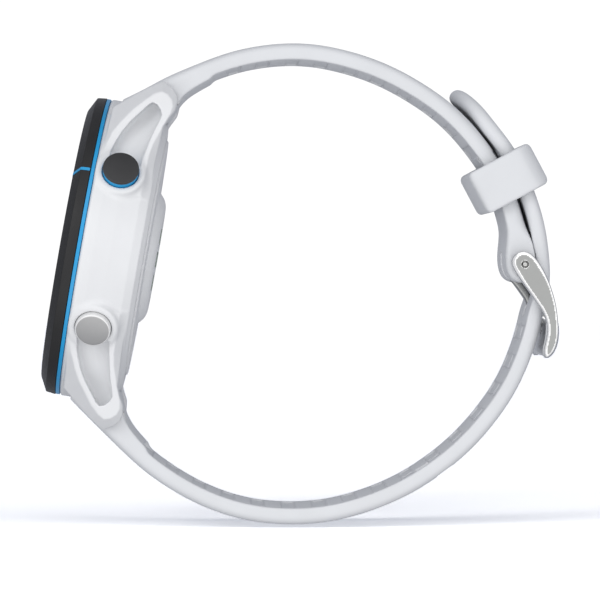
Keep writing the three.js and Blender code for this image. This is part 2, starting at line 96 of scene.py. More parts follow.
# ---------- mesh helpers ----------
def make_object(name, verts, faces, place, smooth=True):
    mesh = bpy.data.meshes.new(name)
    mesh.from_pydata(place(verts).tolist(), [], [tuple(int(i) for i in f) for f in faces])
    mesh.validate()
    mesh.update()
    if smooth:
        mesh.polygons.foreach_set("use_smooth", [True] * len(mesh.polygons))
    obj = bpy.data.objects.new(name, mesh)
    bpy.context.scene.collection.objects.link(obj)
    return obj


def face_outward(obj):
    bm = bmesh.new()
    bm.from_mesh(obj.data)
    bmesh.ops.recalc_face_normals(bm, faces=bm.faces)
    bm.to_mesh(obj.data)
    bm.free()
    return obj


def sharpen(obj, degrees):
    """Edges sharper than this stay crisp."""
    mesh = obj.data
    bm = bmesh.new()
    bm.from_mesh(mesh)
    limit = math.radians(degrees)
    for edge in bm.edges:
        edge.smooth = not (edge.is_manifold and edge.calc_face_angle(0.0) > limit)
    bm.to_mesh(mesh)
    bm.free()
    return obj


# ---------- distance fields ----------
def smin(a, b, k):
    h = np.maximum(k - np.abs(a - b), 0.0) / k
    return np.minimum(a, b) - h * h * k * 0.25


def smax(a, b, k):
    return -smin(-a, -b, k)


def ramp(value, start, stop):
    """0 before start and 1 after stop, turning smoothly between them."""
    t = np.clip((value - start) / (stop - start), 0.0, 1.0)
    return t * t * (3.0 - 2.0 * t)


def rounded(u, v, half_u, half_v, corner):
    """Signed distance to a rectangle with round corners."""
    a = np.abs(u) - half_u + corner
    b = np.abs(v) - half_v + corner
    return np.hypot(np.maximum(a, 0), np.maximum(b, 0)) + np.minimum(np.maximum(a, b), 0) - corner


def polygon(u, v, points):
    """Signed distance from (u, v) to a closed outline, negative inside."""
    best = None
    sign = None
    n = len(points)
    for i in range(n):
        au, av = points[i]
        bu, bv = points[(i + 1) % n]
        eu, ev = bu - au, bv - av
        wu, wv = u - au, v - av
        t = np.clip((wu * eu + wv * ev) / (eu * eu + ev * ev), 0, 1)
        dist = (wu - eu * t) ** 2 + (wv - ev * t) ** 2
        best = dist if best is None else np.minimum(best, dist)
        up = (av <= v) & (v < bv)
        down = (bv <= v) & (v < av)
        side = eu * wv - ev * wu
        flip = (up & (side > 0)) | (down & (side < 0))
        sign = flip if sign is None else sign ^ flip
    return np.where(sign, -1.0, 1.0) * np.sqrt(best)


def surface_net(field, low, high, step, polish=3):
    """A closed quad mesh of the field's zero surface, each point pulled onto the surface."""
    steps = np.array(step if np.ndim(step) else [step] * 3, float)
    axes = [np.arange(a, b + s, s) for a, b, s in zip(low, high, steps)]
    x, y, z = np.meshgrid(*axes, indexing="ij", sparse=True)
    values = np.broadcast_to(field(x, y, z), [len(a) for a in axes]).astype(np.float32)
    inside = values < 0
    cells = np.zeros([len(a) - 1 for a in axes], np.int8)
    corners = [(i, j, k) for i in (0, 1) for j in (0, 1) for k in (0, 1)]
    for i, j, k in corners:
        cells += inside[i:len(axes[0]) - 1 + i, j:len(axes[1]) - 1 + j, k:len(axes[2]) - 1 + k]
    mixed = (cells > 0) & (cells < 8)
    index = -np.ones(cells.shape, np.int64)
    cell = np.argwhere(mixed)
    index[mixed] = np.arange(len(cell))
    total = np.zeros((len(cell), 3))
    count = np.zeros(len(cell))
    for a in corners:
        for axis in range(3):
            if a[axis]:
                continue
            b = list(a)
            b[axis] = 1
            va = values[cell[:, 0] + a[0], cell[:, 1] + a[1], cell[:, 2] + a[2]]
            vb = values[cell[:, 0] + b[0], cell[:, 1] + b[1], cell[:, 2] + b[2]]
            cross = (va < 0) != (vb < 0)
            point = np.tile(np.array(a, float), (len(cell), 1))
            point[:, axis] = np.where(cross, va / np.where(cross, va - vb, 1), 0)
            total[cross] += point[cross]
            count[cross] += 1
    verts = (cell + total / count[:, None]) * steps + np.array(low)
    faces = []
    for axis in range(3):
        other = [i for i in range(3) if i != axis]
        front = [slice(None)] * 3
        back = [slice(None)] * 3
        front[axis], back[axis] = slice(0, -1), slice(1, None)
        edge = np.argwhere(inside[tuple(front)] != inside[tuple(back)])
        flip = inside[edge[:, 0], edge[:, 1], edge[:, 2]]
        if axis == 1:
            flip = ~flip
        quad = []
        for du, dv in ((-1, -1), (0, -1), (0, 0), (-1, 0)):
            c = edge.copy()
            c[:, other[0]] += du
            c[:, other[1]] += dv
            quad.append(index[c[:, 0], c[:, 1], c[:, 2]])
        quad = np.stack(quad, 1)
        quad[~flip] = quad[~flip][:, ::-1]
        faces.append(quad)
    faces = np.concatenate(faces)
    for _ in range(polish):
        px, py, pz = verts.T
        f = field(px, py, pz)
        grad = []
        for axis, size in enumerate(steps * 0.1):
            ahead, behind = verts.copy(), verts.copy()
            ahead[:, axis] += size
            behind[:, axis] -= size
            grad.append((field(*ahead.T) - field(*behind.T)) / (2 * size))
        grad = np.stack(grad, 1)
        move = -(f / np.maximum((grad ** 2).sum(1), 0.25))[:, None] * grad
        reach = np.sqrt((move ** 2).sum(1))
        limit = 0.5 * steps.min()
        verts = verts + 0.9 * move * np.minimum(1, limit / np.maximum(reach, 1e-9))[:, None]
    return verts, faces


def smooth_outline(points, count, closed=True):
    """Points spaced evenly along a smooth line through the given ones."""
    p = np.array(list(points) + ([points[0]] if closed else []), float)
    knots = np.r_[0, np.cumsum(np.hypot(*np.diff(p, axis=0).T) ** 0.5)]
    if closed:
        wrap = min(4, len(p) - 2)
        p = np.vstack([p[-1 - wrap:-1], p, p[1:1 + wrap]])
        period = knots[-1]
        knots = np.r_[knots[-1 - wrap:-1] - period, knots, knots[1:1 + wrap] + period]
    gap = np.diff(knots)
    n = len(knots)
    system = np.zeros((n, n))
    right = np.zeros((n, 2))
    system[0, 0] = system[-1, -1] = 1
    for i in range(1, n - 1):
        system[i, i - 1:i + 2] = gap[i - 1], 2 * (gap[i - 1] + gap[i]), gap[i]
        right[i] = 6 * ((p[i + 1] - p[i]) / gap[i] - (p[i] - p[i - 1]) / gap[i - 1])
    bend = np.linalg.solve(system, right)
    start, stop = (0.0, period) if closed else (knots[0], knots[-1])
    at = np.linspace(start, stop, 4001)
    i = np.clip(np.searchsorted(knots, at) - 1, 0, n - 2)
    after = (at - knots[i])[:, None]
    before = (knots[i + 1] - at)[:, None]
    g = gap[i][:, None]
    line = (bend[i] * before ** 3 + bend[i + 1] * after ** 3) / (6 * g)
    line += (p[i] / g - bend[i] * g / 6) * before + (p[i + 1] / g - bend[i + 1] * g / 6) * after
    length = np.r_[0, np.cumsum(np.hypot(*np.diff(line, axis=0).T))]
    spots = np.linspace(0, length[-1], count + 1 if closed else count)
    even = np.stack([np.interp(spots, length, line[:, 0]), np.interp(spots, length, line[:, 1])], 1)
    return even[:-1] if closed else even


class Line:
    """A band part's outer line in the loop drawing, by arc length s and depth t towards the wrist."""

    def __init__(self, points, wrist_side):
        q = smooth_outline(points, 1200, closed=False)
        tangent = np.gradient(q, axis=0)
        tangent /= np.hypot(*tangent.T)[:, None]
        self.q = q
        self.s = np.r_[0, np.cumsum(np.hypot(*np.diff(q, axis=0).T))]
        self.length = self.s[-1]
        self.tangent = tangent
        self.side = wrist_side

    def to_loop(self, s, t):
        """(y, z) at arc length s and depth t; both ends run on straight."""
        inside = np.clip(s, 0, self.length)
        ty = np.interp(inside, self.s, self.tangent[:, 0])
        tz = np.interp(inside, self.s, self.tangent[:, 1])
        over = s - inside
        y = np.interp(inside, self.s, self.q[:, 0]) + ty * over + self.side * tz * t
        z = np.interp(inside, self.s, self.q[:, 1]) + tz * over - self.side * ty * t
        return y, z


def to_case(y, z):
    """Case (depth, height) of a point in the loop drawing."""
    y, z = y - CASE_FRONT[0], z - CASE_FRONT[1]
    return y * COS - z * SIN, y * SIN + z * COS


# ---------- the case ----------
# outlines of half the body's section, drawn as (radius, depth), and of the lugs, as (depth, height)
RING_SEAT = 3.24
CASE_PROFILE = [
    (20.2, RING_SEAT), (22.95, RING_SEAT), (23.25, 3.55), (23.25, 5.1), (22.75, 7.6), (21.9, 10.75),
    (21.25, 12.0), (20.2, 12.66), (18.75, 12.72), (18.75, 11.2), (16.0, 11.2), (16.0, 10.2), (20.2, 9.6),
]
CASE_SOLID = [
    (0, 0), (23.3, 0), (23.3, 5.1), (22.75, 7.6), (21.9, 10.75), (21.25, 12.0), (19.4, 14), (0, 14),
]
LUG_SILHOUETTE = [
    (3.6, 9.0), (4.0, 21.7), (5.44, 22.88), (7.12, 24.27), (8.96, 25.7), (10.85, 27.02), (12.3, 26.2),
    (13.25, 25.15), (13.57, 24.1), (13.4, 22.75), (12.62, 21.3), (12.1, 20.0), (11.6, 9.0),
]
RAIL_TIP = [
    (9.95, 24.75), (10.95, 25.3), (11.9, 25.0), (12.65, 24.3), (13.0, 23.4), (12.85, 22.35), (12.45, 21.1),
    (11.9, 19.7), (11.5, 18.4), (11.05, 17.0), (10.75, 15.2), (10.6, 9.0),
]
LUG_RAIL = [
    (3.7, 9.0), (3.98, 14.6), (4.3, 16.3), (4.75, 17.9), (5.75, 19.7), (7.1, 21.7), (8.6, 23.45),
] + RAIL_TIP
LOW_LUG_RAIL = [
    (3.7, 9.0), (3.98, 14.6), (4.35, 16.1), (4.8, 17.05), (5.45, 18.65), (6.35, 20.3), (7.55, 21.95),
    (8.65, 23.45),
] + RAIL_TIP
POCKET = [
    (4.95, 13.4), (5.05, 15.0), (5.5, 16.6), (6.15, 18.2), (7.05, 19.85), (8.25, 21.5), (9.3, 22.9),
    (9.9, 23.4), (10.6, 23.2), (11.25, 22.5), (11.6, 21.7), (11.35, 20.7), (10.8, 18.9), (10.4, 17.2),
    (10.1, 15.6), (9.9, 13.4),
]
LUG_FACE = ((18.75, 13.6), (14.35, 25.9))  # the (x, height) line of a lug's slanting outer face
LUG_INSIDE = 11.3
BEVEL_SLOPE = 0.8
ROOM = (20.2, 2.0, 9.9)  # the radius and the two depths of the room for the works
COVER_SEAT = (18.75, 11.2)
BOSS = (3.95, 23.42)  # a button boss's radius, and its top's distance from the case axis
WELL = (2.83, 21.9)
STEM_HOLE = (1.3, 15.0)
BAR_HOLE = (0.7, 10.0, 12.3)


def button_frame(name, x, d, h):
    """(distance along a button's axis from the case axis, distance from the button's axis)."""
    c, s = math.cos(math.radians(BUTTON_ANGLES[name])), math.sin(math.radians(BUTTON_ANGLES[name]))
    return x * c + h * s, np.hypot(h * c - x * s, d - BUTTON_DEPTH)


def lug_field(x, d, h):
    """A lug is its side outline, cut by its outer face and bevelled from that face to the outline."""
    ax, ah = np.abs(x), np.abs(h)
    (x0, h0), (x1, h1) = LUG_FACE
    face = ((ax - x0) * (h1 - h0) - (ah - h0) * (x1 - x0)) / math.hypot(x1 - x0, h1 - h0)
    side = polygon(d, ah, LUG_SILHOUETTE)
    rail = np.where(h > 0, polygon(d, ah, LUG_RAIL), polygon(d, ah, LOW_LUG_RAIL))
    bevel = (rail + BEVEL_SLOPE * face) / math.hypot(1.0, BEVEL_SLOPE)
    lug = smax(smax(side, face, 0.25), bevel, 0.1)
    lug = smax(lug, LUG_INSIDE - ax, 0.5)
    return np.maximum(lug, 15.5 - np.hypot(x, h))


def pocket_field(x, d, h):
    """The hollow in a lug's side. Its bed sinks towards the lug's tip and climbs towards the back."""
    ax, ah = np.abs(x), np.abs(h)
    reach = ah - 13.0
    bed = smax(17.0 - 0.36 * reach - 0.025 * reach ** 2, 12.8, 1.0)
    bed = bed + 0.16 * np.maximum(d - 6.2 - 0.35 * reach, 0.0) ** 2
    return smax(polygon(d, ah, POCKET), 0.88 * (bed - ax), 0.7)


def case_field(x, d, h):
    ax, ah = np.abs(x), np.abs(h)
    r = np.hypot(x, h)
    shape = smin(polygon(r, d, CASE_PROFILE), lug_field(x, d, h), 0.8)
    for name in BUTTON_ANGLES:
        along, across = button_frame(name, x, d, h)
        boss = smax(across - BOSS[0] + 0.18 * (along - 22.0), along - BOSS[1], 0.5)
        shape = smin(shape, smax(boss, 20.4 - along, 0.2), 0.7)
    shape = smax(shape, -pocket_field(x, d, h), 0.15)
    room = smax(smax(r - ROOM[0], d - ROOM[2], 0.2), ROOM[1] - d, 0.2)
    shape = smax(shape, -room, 0.15)
    shape = smax(shape, -np.maximum(r - COVER_SEAT[0], COVER_SEAT[1] - d), 0.12)
    for name in BUTTON_ANGLES:
        along, across = button_frame(name, x, d, h)
        shape = smax(shape, -np.maximum(across - WELL[0], WELL[1] - along), 0.12)
        shape = smax(shape, -np.maximum(across - STEM_HOLE[0], STEM_HOLE[1] - along), 0.1)
    bar = np.hypot(d - BAR[0], ah - BAR[1]) - BAR_HOLE[0]
    shape = smax(shape, -np.maximum(np.maximum(bar, ax - BAR_HOLE[2]), BAR_HOLE[1] - ax), 0.1)
    return np.maximum(shape, RING_SEAT - d)


# ---------- the band ----------
STRAP_HALF = 11.0
STRAP_THICK = 2.8
TIP_ROUND = (10.5, 12.5)  # half the width and the length over which the long half's tip is rounded
TOP_POINTS = [
    from_case(5.3, 23.6), (-23.9, 32.65), (-20.8, 34.3), (-16.3, 36.25), (-9.85, 38.5), (-1.25, 39.6),
    (5.95, 38.75), (12.85, 36.55), (18.75, 33.45), (24.1, 29.5), (28.65, 24.45), (31.95, 19.2),
    (34.0, 13.55), (35.45, 8.65), (36.0, 5.55),
]
LOW_POINTS = [
    from_case(5.3, -23.7), (-26.0, -24.7), (-22.2, -27.75), (-17.05, -30.85), (-9.95, -33.55),
    (-2.6, -34.55), (5.95, -33.85), (15.0, -30.8), (20.2, -27.85), (24.55, -24.55), (28.65, -20.4),
    (32.45, -15.2), (34.8, -10.55), (36.55, -5.6), (37.55, -1.4), (38.35, 2.6), (38.35, 5.95),
    (37.95, 9.55), (37.2, 13.15), (35.5, 18.15), (32.95, 23.3), (30.25, 27.0), (27.65, 30.2),
    (25.3, 32.3), (24.0, 33.1),
]
TOP = Line(TOP_POINTS, 1)
LOW = Line(LOW_POINTS, -1)
BARREL_EDGE = [
    (36.0, 4.1), (35.0, 2.95), (33.4, 2.75), (32.05, 3.5), (31.4, 5.0), (31.25, 7.0), (31.45, 9.4),
    (31.4, 11.6),
]
FLARE = [(16.2, 27.55), (15.0, 26.3), (13.9, 24.7), (13.1, 23.0), (12.3, 20.7), (12.1, 18.6)]
TOP_ROW = (27.46, 4.95)  # where the rows of grooves and holes start along each half, and their pitch
LOW_ROW = (39.72, 5.17)
TOP_GROOVES = (-2, 8)  # the first and last numbers in each row
LOW_GROOVES = (-5, 13)
LOW_HOLES = (4, 17)
GROOVE = (9.9, 1.15, 0.6)  # half its width and length, and its corner radius
GROOVE_DEPTH = 0.32
HOLE = (1.15, 1.5, 0.95)
USED_SLOT = 11  # the number in the row of the hole that the tongue is through
USED_CENTRE = (35.95, -1.15)
USED_HOLE = (1.3, 1.75, 0.6)
TONGUE_SLOPE = math.atan2(-2.5, 1.7)
BEYOND = -1.5  # an outline that mustn't touch the outer face passes this far outside it


def flare_outline(line, end):
    """The thick root that wraps a spring bar, as a closed outline in the loop drawing."""
    start = line.to_loop(13.0, STRAP_THICK)
    inner = smooth_outline([start] + [from_case(d, end * h) for d, h in FLARE], 22, closed=False)
    outside = [line.to_loop(s, BEYOND) for s in (13.0, 9.0, 5.0, 0.0)]
    return [tuple(p) for p in inner] + [from_case(3.0, end * 18.0)] + outside[::-1]


def barrel_outline():
    """The rounded end that holds the buckle's pin."""
    outside = [TOP.to_loop(s, BEYOND) for s in (72.0, 76.0, 80.0, TOP.length)]
    corners = [TOP.to_loop(TOP.length, 0.0)] + BARREL_EDGE + [TOP.to_loop(71.0, STRAP_THICK)]
    return outside + [tuple(p) for p in smooth_outline(corners, 30, closed=False)]


TOP_FLARE = flare_outline(TOP, 1)
LOW_FLARE = flare_outline(LOW, -1)
BARREL = barrel_outline()


def band_section(x, t, side, inner, edge, crown=0.35, shoulder=1.5):
    """A flat inner face, straight sides and a crowned outer face with round shoulders."""
    outer = crown * (x / STRAP_HALF) ** 2 - t
    return smax(smax(side, outer, shoulder), inner, edge)


def in_row(s, row, first, last):
    """Distance along the band from the nearest spot of a row, and that spot's number."""
    anchor, pitch = row
    n = np.clip(np.round((s - anchor) / pitch), first, last)
    return s - anchor - n * pitch, n


def grooves(x, along, t, thick):
    return np.maximum(rounded(x, along, *GROOVE), thick - GROOVE_DEPTH - t)


def without_used(along, n):
    """Moves the used hole's own spot out of the row, since that hole is cut along the tongue instead."""
    return np.where(n == USED_SLOT, 99.0, along)


def from_tongue(y, z, centre):
    """Distance from the line through a centre that runs the way the tongue does."""
    return (y - centre[0]) * -math.sin(TONGUE_SLOPE) + (z - centre[1]) * math.cos(TONGUE_SLOPE)


def root_cuts(x, d, h):
    """What the root of a band part leaves free: the case, its spring bar and the bar's lever."""
    case = polygon(np.hypot(x, h), d, CASE_SOLID) - 0.22
    tunnel = np.hypot(d - BAR[0], h - BAR[1]) - 1.0
    window = np.maximum(rounded(x - 7.6, h - BAR[1], 2.3, 0.95, 0.3), BAR[0] - d)
    return np.minimum(np.minimum(tunnel, window), np.minimum(case, d - 5.2))


def top_field(x, s, t):
    y, z = TOP.to_loop(s, t)
    strip = np.maximum(t - STRAP_THICK, s - 79.0)
    inner = smin(strip, polygon(y, z, TOP_FLARE), 1.6)
    inner = smin(inner, polygon(y, z, BARREL), 0.6)
    edge = 0.4 + 0.5 * ramp(s, 72.0, 79.0)
    crown = 0.35 * ramp(s, 80.0, 76.0)
    shoulder = 1.4 + 0.6 * ramp(s, 48.0, 56.0) - 1.6 * ramp(s, 75.5, 79.5)
    shape = band_section(x, t, np.abs(x) - STRAP_HALF, inner, edge, crown, shoulder)
    along, _ = in_row(s, TOP_ROW, *TOP_GROOVES)
    shape = smax(shape, -grooves(x, along, t, STRAP_THICK), 0.3)
    shape = smax(shape, -root_cuts(x, *to_case(y, z)), 0.2)
    fork = np.maximum(np.abs(x) - 1.6, z - 7.4)
    shape = smax(shape, -fork, 0.3)
    return smax(shape, BARREL_HOLE - np.hypot(y - PIN[0], z - PIN[1]), 0.1)


def low_field(x, s, t):
    y, z = LOW.to_loop(s, t)
    over_barrel = ramp(s, 94.0, 99.0) * ramp(s, 107.5, 102.5)
    thick = STRAP_THICK - 0.18 * ramp(s, 70.0, 90.0) - 0.36 * over_barrel
    thick = thick - 0.25 * ramp(s, LOW.length - 9.0, LOW.length)
    half, reach = TIP_ROUND
    tip = np.maximum(s - (LOW.length - reach), 0.0) * (half / reach)
    side = np.hypot(np.maximum(np.abs(x) - (STRAP_HALF - half), 0.0), tip) - half
    inner = smin(t - thick, polygon(y, z, LOW_FLARE), 1.6)
    edge = 0.4 + 0.8 * ramp(s, 106.0, 112.0)
    shape = band_section(x, t, side, inner, edge)
    groove_spots = without_used(*in_row(s, LOW_ROW, *LOW_GROOVES))
    shape = smax(shape, -grooves(x, groove_spots, t, thick), 0.3)
    hole_spots = without_used(*in_row(s, LOW_ROW, *LOW_HOLES))
    shape = smax(shape, -rounded(x, hole_spots, *HOLE), 0.3)
    d, h = to_case(y, z)
    shape = smax(shape, -root_cuts(x, d, -h), 0.2)
    across = from_tongue(y, z, USED_CENTRE)
    return smax(shape, -rounded(x, across, *USED_HOLE), 0.3)


def band_part(name, line, field, last, step):
    verts, faces = surface_net(field, (-11.3, -7.0, -0.35), (11.3, last, 9.6), step)
    y, z = line.to_loop(verts[:, 1], verts[:, 2])
    if line.side > 0:
        faces = faces[:, ::-1]
    return make_object(name, np.stack([verts[:, 0], y, z], 1), faces, loop_to_frame)


KEEPER_CENTRE = (31.35, 18.5)
KEEPER_ANGLE = math.radians(28.0)
KEEPER_MIDDLE = 0.35  # its middle's distance outwards from that centre
KEEPER_HALVES = (5.55, 13.2, 3.45)  # half its size outwards, across the band and along it
KEEPER_OPENING = (0.45, 3.65, 11.6)


def keeper_field(x, k, l):
    """k runs outwards from the wrist and l along the band."""
    deep, wide, long = KEEPER_HALVES
    plate = rounded(k - KEEPER_MIDDLE, l, deep, long, 1.1)
    corner = np.where(k > KEEPER_MIDDLE, 4.2, 1.7)
    frame_shape = rounded(k - KEEPER_MIDDLE, x, deep, wide, corner)
    middle, half_k, half_x = KEEPER_OPENING
    opening = rounded(k - middle, x, half_k, half_x, 0.7)
    pillow = np.abs(x) - wide + 0.012 * (k ** 2 * 0.25 + l ** 2)
    body = smax(smax(plate, frame_shape, 0.5), pillow, 0.6)
    return smax(body, -opening, 0.5)


def keeper_to_frame(points):
    c, s = math.cos(KEEPER_ANGLE), math.sin(KEEPER_ANGLE)
    x, k, l = points.T
    y = KEEPER_CENTRE[0] + k * c - l * s
    z = KEEPER_CENTRE[1] + k * s + l * c
    return loop_to_frame(np.stack([x, y, z], 1))


# ---------- the buckle ----------
ARM = [
    (33.9, 7.5), (35.15, 7.0), (36.2, 5.8), (37.3, 3.9), (38.15, 1.75), (38.8, -0.6), (39.1, -2.75),
    (39.2, -4.65), (39.0, -6.6), (38.15, -8.3), (37.3, -8.7), (37.0, -7.85), (37.1, -7.0), (37.5, -4.9),
    (37.4, -3.35), (36.9, -1.9), (36.0, -0.5), (34.75, 1.3), (33.05, 3.7), (32.05, 5.8), (32.6, 7.0),
]
CROSSBAR = [
    (37.95, -3.1), (38.85, -3.5), (39.15, -4.65), (38.95, -6.55), (38.1, -8.25), (37.4, -8.6),
    (37.05, -8.3), (37.05, -7.2), (37.4, -5.6), (37.5, -4.2),
]
TONGUE = [
    (35.1, 4.5), (34.3, 3.9), (34.75, 2.6), (35.65, 1.2), (36.7, -1.2), (37.95, -3.5), (38.8, -5.0),
    (38.35, -5.35), (37.4, -4.1), (35.7, -1.9), (34.85, 0.2), (33.75, 1.75), (32.6, 3.1), (32.7, 4.2),
    (33.0, 5.2), (33.2, 6.2),
]
ARM_LINE = smooth_outline(ARM, 90)
CROSSBAR_LINE = smooth_outline(CROSSBAR, 44)
ARM_OUTSIDE = 13.3
ARM_HALF = 0.95
ARM_EYE = (34.0, 5.6)
UPPER_SLOPE, UNDER_SLOPE = math.radians(24.0), math.radians(34.0)
TONGUE_REST = (38.75, -4.75)
TONGUE_HALF = 1.0


def arm_field(x, y, z):
    """A flat arm with a polished chamfer, steeper along its underside and wider round the eye."""
    ax = np.abs(x)
    arm = smax(polygon(y, z, ARM_LINE), np.abs(ax - ARM_OUTSIDE + ARM_HALF) - ARM_HALF, 0.25)
    upward = ramp((y - ARM_EYE[0]) + 0.5 * (z - ARM_EYE[1]), -0.9, 0.3)
    slope = UNDER_SLOPE + (UPPER_SLOPE - UNDER_SLOPE) * upward
    width = 0.36 + 0.16 * ramp(z, 2.0, 5.0)
    edge = polygon(y - 0.06, z, ARM_LINE) + width
    return smax(arm, edge * np.sin(slope) + (ax - ARM_OUTSIDE) * np.cos(slope), 0.06)


def buckle_field(x, y, z):
    bar = smax(polygon(y, z, CROSSBAR_LINE), np.abs(x) - 12.3, 0.2)
    shape = smin(arm_field(x, y, z), bar, 0.7)
    shape = smax(shape, -rounded(x, from_tongue(y, z, TONGUE_REST), 1.5, 1.2, 0.5), 0.25)
    return smax(shape, ARM_HOLE - np.hypot(y - PIN[0], z - PIN[1]), 0.12)


def tongue_field(x, y, z):
    from_pin = np.hypot(y - PIN[0], z - PIN[1])
    blade = smax(polygon(y, z, TONGUE), np.abs(x) - TONGUE_HALF, 0.5)
    eye = smax(from_pin - 1.3, np.abs(x) - TONGUE_HALF, 0.5)
    return smax(smin(blade, eye, 0.4), TONGUE_HOLE - from_pin, 0.1)


# ---------- turned pieces ----------
def fillet(corners, steps=5):
    """A profile of (radius, along, corner radius), with each rounded corner drawn as an arc."""
    line = []
    for i, (r, a, size) in enumerate(corners):
        if not size or i in (0, len(corners) - 1):
            line.append((r, a))
            continue
        here = np.array([r, a], float)
        back = np.array(corners[i - 1][:2]) - here
        ahead = np.array(corners[i + 1][:2]) - here
        back /= np.hypot(*back)
        ahead /= np.hypot(*ahead)
        half = math.acos(np.clip(back @ ahead, -1, 1)) / 2
        centre = here + (back + ahead) / np.hypot(*(back + ahead)) * size / math.sin(half)
        start = here + back * size / math.tan(half) - centre
        stop = here + ahead * size / math.tan(half) - centre
        turn = math.pi - 2 * half
        for j in range(steps + 1):
            f = j / steps
            arm = (math.sin((1 - f) * turn) * start + math.sin(f * turn) * stop) / math.sin(turn)
            line.append(tuple(centre + arm))
    return line


def turned(name, profile, place, segments):
    """Turns a (radius, along) profile about its axis. It closes on the axis, or on itself as a ring."""
    on_axis = profile[0][0] == 0
    points = [p for p in profile if p[0] > 0]
    count = len(points)
    angles = np.arange(segments) * 2 * math.pi / segments
    radius = np.array([p[0] for p in points])
    along = np.array([p[1] for p in points])
    u = np.outer(np.cos(angles), radius).ravel()
    w = np.outer(np.sin(angles), radius).ravel()
    verts = np.stack([u, np.tile(along, segments), w], 1)
    faces = []
    last = count - 1 if on_axis else count
    for i in range(segments):
        j = (i + 1) % segments
        for k in range(last):
            n = (k + 1) % count
            faces.append((i * count + k, i * count + n, j * count + n, j * count + k))
    if on_axis:
        verts = np.vstack([verts, [[0, profile[0][1], 0], [0, profile[-1][1], 0]]])
        first, final = len(verts) - 2, len(verts) - 1
        for i in range(segments):
            j = (i + 1) % segments
            faces.append((first, i * count, j * count))
            faces.append((final, j * count + count - 1, i * count + count - 1))
    return sharpen(face_outward(make_object(name, verts, faces, place)), 25)


def on_case(points):
    """A piece turned about the case axis, drawn as (x, depth, height)."""
    return case_to_frame(points)


def at_spot(spot):
    """A piece turned about an axis parallel to the case's, at an (x, height) spot."""
    return lambda p: case_to_frame(p + np.array([spot[0], 0, spot[1]]))


def at_button(name):
    """A piece turned about a button's axis, drawn as (u, distance from the case axis, w)."""
    c, s = math.cos(math.radians(BUTTON_ANGLES[name])), math.sin(math.radians(BUTTON_ANGLES[name]))

    def place(p):
        u, along, w = p.T
        return case_to_frame(np.stack([along * c - u * s, BUTTON_DEPTH + w, along * s + u * c], 1))
    return place


def along_x(centre):
    """A piece turned about an axis along X at a (y, z) centre, drawn as (u, x, w)."""
    def place(p):
        u, along, w = p.T
        return loop_to_frame(np.stack([along, centre[0] + u, centre[1] + w], 1))
    return place


# ---------- materials ----------
def link(tree, a, b):
    tree.links.new(a, b)


def new_material(name):
    material = bpy.data.materials.new(name)
    material.use_nodes = True
    tree = material.node_tree
    return material, tree, tree.nodes["Principled BSDF"]


def noise(tree, scale, detail=3.0, stretch=(1, 1, 1)):
    """Object-space noise; scale is in cells per metre."""
    nodes = tree.nodes
    where = nodes.new("ShaderNodeTexCoord")
    mapping = nodes.new("ShaderNodeMapping")
    mapping.inputs["Scale"].default_value = stretch
    texture = nodes.new("ShaderNodeTexNoise")
    texture.inputs["Scale"].default_value = scale
    texture.inputs["Detail"].default_value = detail
    link(tree, where.outputs["Object"], mapping.inputs["Vector"])
    link(tree, mapping.outputs["Vector"], texture.inputs["Vector"])
    return texture.outputs["Fac"]


def blend_colours(tree, factor, low, high, start=0.3, stop=0.7):
    mix = tree.nodes.new("ShaderNodeValToRGB")
    mix.color_ramp.elements[0].position = start
    mix.color_ramp.elements[1].position = stop
    mix.color_ramp.elements[0].color = (*low, 1)
    mix.color_ramp.elements[1].color = (*high, 1)
    link(tree, factor, mix.inputs["Fac"])
    return mix.outputs["Color"]


def spread(tree, factor, low, high):
    span = tree.nodes.new("ShaderNodeMapRange")
    span.inputs["From Min"].default_value = 0.3
    span.inputs["From Max"].default_value = 0.7
    span.inputs["To Min"].default_value = low
    span.inputs["To Max"].default_value = high
    link(tree, factor, span.inputs["Value"])
    return span.outputs["Result"]


def bump(tree, shader, height, strength, distance):
    node = tree.nodes.new("ShaderNodeBump")
    node.inputs["Strength"].default_value = strength
    node.inputs["Distance"].default_value = distance
    link(tree, height, node.inputs["Height"])
    link(tree, node.outputs["Normal"], shader.inputs["Normal"])
    return node


def shaded(colour, factor):
    return tuple(min(1.0, c * factor) for c in colour)


def surface(
    name, colour, rough, metal=0.0, mottle=0.02, grain=(5000, 0.06), stretch=(1, 1, 1), sheen=0.0,
    coat=0.0, specular=0.5,
):
    """A moulded, cast or brushed surface: slow colour drift, uneven roughness and a fine grain.

    mottle is how far the colour drifts, and grain is the fine noise's (cells per metre, strength).
    """
    material, tree, shader = new_material(name)
    drift = noise(tree, 140, 4)
    colours = blend_colours(tree, drift, shaded(colour, 1 - mottle), shaded(colour, 1 + mottle))
    link(tree, colours, shader.inputs["Base Color"])
    shader.inputs["Metallic"].default_value = metal
    shader.inputs["Specular IOR Level"].default_value = specular
    if sheen:
        shader.inputs["Sheen Weight"].default_value = sheen
        shader.inputs["Sheen Roughness"].default_value = 0.4
    if coat:
        shader.inputs["Coat Weight"].default_value = coat
        shader.inputs["Coat Roughness"].default_value = 0.08
    fine = noise(tree, grain[0], 2, stretch)
    link(tree, spread(tree, fine, rough * 0.88, min(1.0, rough * 1.12)), shader.inputs["Roughness"])
    bump(tree, shader, fine, grain[1], 0.00006)
    return material


